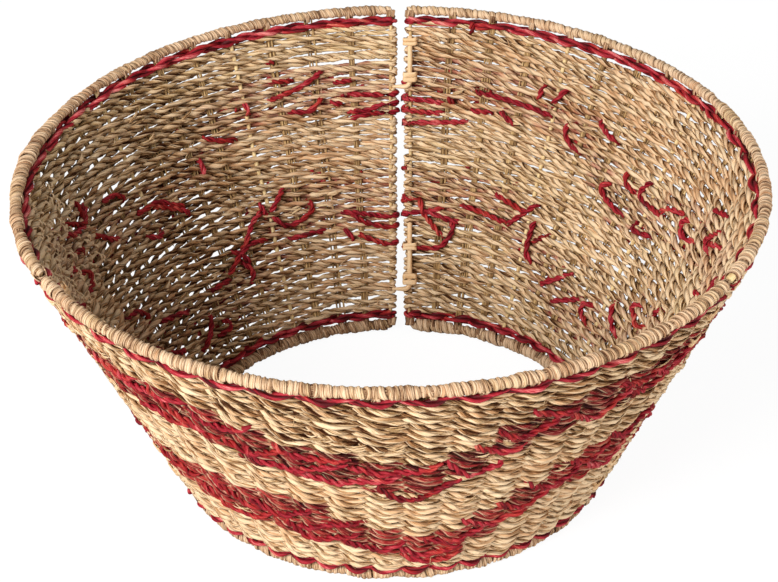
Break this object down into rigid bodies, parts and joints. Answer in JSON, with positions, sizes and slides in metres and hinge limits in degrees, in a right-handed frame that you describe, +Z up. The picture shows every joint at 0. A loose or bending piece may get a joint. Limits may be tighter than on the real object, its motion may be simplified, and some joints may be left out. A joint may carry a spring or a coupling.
{
  "type": "christmas tree collar",
  "caption": "Open cone of curved woven seagrass panels with wrapped rims and red trim, which stands round the foot of a Christmas tree. Bent rattan pins join the panels.",
  "frame": {"origin": "centre of the ring at the level that the bottom rim stands on", "axes": "+Z up through the cone's open middle, -Y towards the front panel's middle, +Y towards the open back joint"},
  "size_m": [0.633, 0.633, 0.2825],
  "materials": {
    "seagrass_weave": "twisted seagrass weft, dry and matt, with two red bands",
    "seagrass_wrap": "flat seagrass strip wound round the rim, dry and matt",
    "red_cord": "dyed two-ply seagrass cord, slight sheen",
    "stake_rattan": "peeled rattan, matt",
    "pin_rattan": "smooth peeled rattan, slight sheen"
  },
  "bodies": {
    "front_panel": {"front_frame": "stake_rattan", "front_woven_wall": "seagrass_weave", "front_top_rim_wrap": "seagrass_wrap", "front_bottom_rim_wrap": "seagrass_wrap", "front_top_red_cord": "red_cord", "front_bottom_red_cord": "red_cord", "front_pin_side_stake": "stake_rattan", "front_catch_side_stake": "stake_rattan", "front_upper_pin_top_loop": "pin_rattan", "front_upper_pin_low_loop": "pin_rattan", "front_lower_pin_top_loop": "pin_rattan", "front_lower_pin_low_loop": "pin_rattan"},
    "front_upper_pin": {"front_upper_pin": "pin_rattan"},
    "front_lower_pin": {"front_lower_pin": "pin_rattan"},
    "right_back_panel": {"right_back_frame": "stake_rattan", "right_back_woven_wall": "seagrass_weave", "right_back_top_rim_wrap": "seagrass_wrap", "right_back_bottom_rim_wrap": "seagrass_wrap", "right_back_top_red_cord": "red_cord", "right_back_bottom_red_cord": "red_cord", "right_back_pin_side_stake": "stake_rattan", "right_back_catch_side_stake": "stake_rattan", "right_back_upper_pin_top_loop": "pin_rattan", "right_back_upper_pin_low_loop": "pin_rattan", "right_back_lower_pin_top_loop": "pin_rattan", "right_back_lower_pin_low_loop": "pin_rattan"},
    "right_back_upper_pin": {"right_back_upper_pin": "pin_rattan"},
    "right_back_lower_pin": {"right_back_lower_pin": "pin_rattan"},
    "left_back_panel": {"left_back_frame": "stake_rattan", "left_back_woven_wall": "seagrass_weave", "left_back_top_rim_wrap": "seagrass_wrap", "left_back_bottom_rim_wrap": "seagrass_wrap", "left_back_top_red_cord": "red_cord", "left_back_bottom_red_cord": "red_cord", "left_back_pin_side_stake": "stake_rattan", "left_back_catch_side_stake": "stake_rattan", "left_back_upper_pin_top_loop": "pin_rattan", "left_back_upper_pin_low_loop": "pin_rattan", "left_back_lower_pin_top_loop": "pin_rattan", "left_back_lower_pin_low_loop": "pin_rattan"},
    "left_back_upper_pin": {"left_back_upper_pin": "pin_rattan"},
    "left_back_lower_pin": {"left_back_lower_pin": "pin_rattan"}
  },
  "joints": [
    {"name": "left_back_swing", "type": "hinge", "parent": "front_panel", "child": "left_back_panel", "pos_m": [-0.15571, -0.10029, 0.006], "axis": [-0.3638, -0.2101, 0.9075], "range_deg": [0, 90]},
    {"name": "right_back_swing", "type": "hinge", "parent": "front_panel", "child": "right_back_panel", "pos_m": [0.16471, -0.08471, 0.006], "axis": [-0.3638, 0.2101, -0.9075], "range_deg": [0, 90]},
    {"name": "front_upper_pin_turn", "type": "hinge", "parent": "front_panel", "child": "front_upper_pin", "pos_m": [0.23193, -0.1443, 0.21489], "axis": [0.3638, -0.2101, 0.9075], "range_deg": [0, 110]},
    {"name": "front_lower_pin_turn", "type": "hinge", "parent": "front_panel", "child": "front_lower_pin", "pos_m": [0.16225, -0.10407, 0.04111], "axis": [0.3638, -0.2101, 0.9075], "range_deg": [0, 110]},
    {"name": "right_back_upper_pin_turn", "type": "hinge", "parent": "right_back_panel", "child": "right_back_upper_pin", "pos_m": [0.009, 0.273, 0.21489], "axis": [0, 0.4201, 0.9075], "range_deg": [0, 110]},
    {"name": "right_back_lower_pin_turn", "type": "hinge", "parent": "right_back_panel", "child": "right_back_lower_pin", "pos_m": [0.009, 0.19255, 0.04111], "axis": [0, 0.4201, 0.9075], "range_deg": [0, 110]},
    {"name": "left_back_upper_pin_turn", "type": "hinge", "parent": "left_back_panel", "child": "left_back_upper_pin", "pos_m": [-0.24093, -0.12871, 0.21489], "axis": [-0.3638, -0.2101, 0.9075], "range_deg": [0, 110]},
    {"name": "left_back_lower_pin_turn", "type": "hinge", "parent": "left_back_panel", "child": "left_back_lower_pin", "pos_m": [-0.17125, -0.08848, 0.04111], "axis": [-0.3638, -0.2101, 0.9075], "range_deg": [0, 110]}
  ]
}
